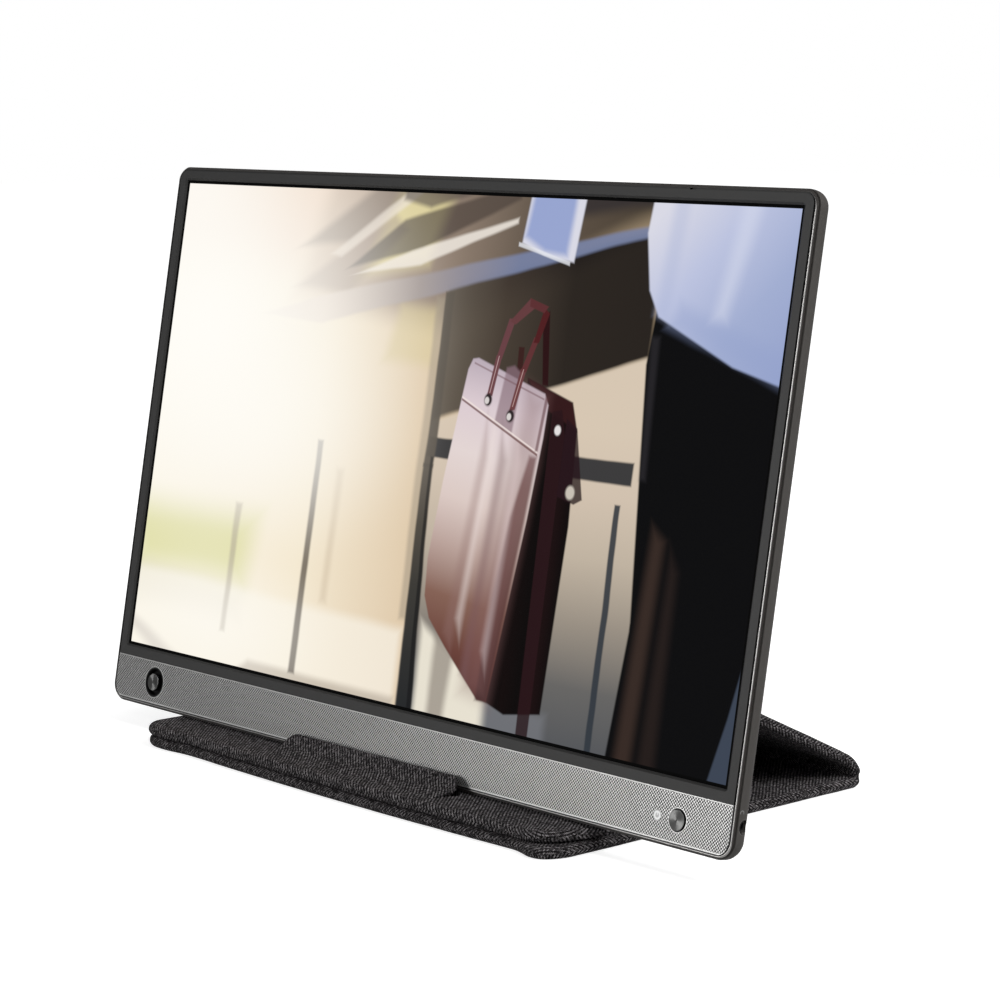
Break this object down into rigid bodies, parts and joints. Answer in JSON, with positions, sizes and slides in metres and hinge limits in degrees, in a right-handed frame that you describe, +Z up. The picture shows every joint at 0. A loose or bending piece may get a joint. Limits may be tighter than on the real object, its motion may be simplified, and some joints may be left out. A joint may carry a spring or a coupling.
{
  "type": "portable monitor with folding cover",
  "caption": "Slim portable monitor leaning in its folding fabric cover, with a perforated metal chin, a power button, a small control stick and a folded stopper.",
  "frame": {"origin": "on the table, in the middle of the footprint", "axes": "+X to the right of the screen, +Y towards its back, +Z up"},
  "size_m": [0.3596, 0.1625, 0.2313],
  "materials": {
    "cover_fabric": "coarse two-tone twill",
    "cover_lining": "brushed lining",
    "stiffener_board": "plain board",
    "magnet_plating": "nickel plated",
    "shell_plastic": "fine texture",
    "black_plastic": "fine texture",
    "polished_trim": "polished",
    "chin_metal": "perforated, satin",
    "screen_glass": "anti-glare coated",
    "guide_plastic": "milky",
    "sheet_metal": "plain",
    "turned_metal": "turned in fine circles",
    "circuit_board": "solder mask",
    "flat_cable": "film"
  },
  "bodies": {
    "base_panel": {"base_outer_skin": "cover_fabric", "base_inner_skin": "cover_lining", "base_board": "stiffener_board"},
    "riser_panel": {"riser_outer_skin": "cover_fabric", "riser_inner_skin": "cover_lining", "riser_board": "stiffener_board"},
    "back_panel": {"back_outer_skin": "cover_fabric", "back_inner_skin": "cover_lining", "back_board": "stiffener_board", "cover_magnets": "magnet_plating"},
    "lip_panel": {"lip_outer_skin": "cover_fabric", "lip_inner_skin": "cover_lining", "lip_board": "stiffener_board"},
    "stopper_first_leaf": {"stopper_root": "cover_fabric"},
    "stopper_second_leaf": {"stopper_tip": "cover_fabric"},
    "power_key": {"power_button": "turned_metal"},
    "stick_ring": {"stick_gimbal": "sheet_metal"},
    "stick_ball": {"stick_rocker": "sheet_metal"},
    "stick_head": {"stick_cap": "turned_metal"},
    "monitor": {"rear_shell": "shell_plastic", "middle_frame": "black_plastic", "trim_ring": "polished_trim", "front_bezel": "shell_plastic", "chin_plate": "chin_metal", "lcd_glass": "screen_glass", "light_guide": "guide_plastic", "reflector_tray": "sheet_metal", "backlight_strip": "circuit_board", "timing_board": "circuit_board", "panel_flex": "flat_cable", "panel_cable": "flat_cable", "main_board": "circuit_board", "shield_can": "sheet_metal", "usb_c_socket": "sheet_metal", "hdmi_socket": "sheet_metal", "board_screws": "sheet_metal", "speaker_left": "black_plastic", "speaker_right": "black_plastic", "rear_magnets": "magnet_plating", "side_board": "circuit_board", "audio_jack": "black_plastic", "jack_ring": "sheet_metal", "power_switch": "sheet_metal", "status_light": "guide_plastic", "stick_board": "circuit_board", "stick_switch": "black_plastic", "stick_well": "black_plastic"}
  },
  "joints": [
    {"name": "rear_fold", "type": "hinge", "parent": "base_panel", "child": "riser_panel", "pos_m": [-0.0107, 0.08109, 0.00524], "axis": [-1, 0, 0], "range_deg": [0, 150]},
    {"name": "top_fold", "type": "hinge", "parent": "riser_panel", "child": "back_panel", "pos_m": [-0.0107, -0.04112, 0.06604], "axis": [-1, 0, 0], "range_deg": [0, 100]},
    {"name": "lip_fold", "type": "hinge", "parent": "back_panel", "child": "lip_panel", "pos_m": [-0.0107, -0.05078, 0.00581], "axis": [1, 0, 0], "range_deg": [0, 76.11]},
    {"name": "stopper_hinge", "type": "hinge", "parent": "lip_panel", "child": "stopper_first_leaf", "pos_m": [-0.0046, -0.07515, 0.0089], "axis": [1, 0, 0], "range_deg": [0, 110]},
    {"name": "stopper_crease", "type": "hinge", "parent": "stopper_first_leaf", "child": "stopper_second_leaf", "pos_m": [-0.0046, -0.06739, 0.01084], "axis": [1, 0, 0], "range_deg": [0, 90]},
    {"name": "monitor_lift", "type": "slide", "parent": "back_panel", "child": "monitor", "axis": [0, 0.1754, 0.9845], "range_m": [0, 0.07]},
    {"name": "power_press", "type": "slide", "parent": "monitor", "child": "power_key", "axis": [0, 0.9845, -0.1754], "range_m": [0, 0.00035], "stiffness_N_per_m": 2500, "springref_m": -0.0004},
    {"name": "stick_tilt_up_down", "type": "hinge", "parent": "monitor", "child": "stick_ring", "pos_m": [-0.151, -0.0559, 0.01931], "axis": [1, 0, 0], "range_deg": [-7, 7], "stiffness_Nm_per_rad": 0.05},
    {"name": "stick_tilt_left_right", "type": "hinge", "parent": "stick_ring", "child": "stick_ball", "pos_m": [-0.151, -0.0559, 0.01931], "axis": [0, 0.1754, 0.9845], "range_deg": [-7, 7], "stiffness_Nm_per_rad": 0.05},
    {"name": "stick_press", "type": "slide", "parent": "stick_ball", "child": "stick_head", "axis": [0, 0.9845, -0.1754], "range_m": [0, 0.0003], "stiffness_N_per_m": 2500, "springref_m": -0.0004}
  ],
  "couplings": [
    {"joint": "lip_fold", "follows": "top_fold", "ratio": 0.76095}
  ]
}
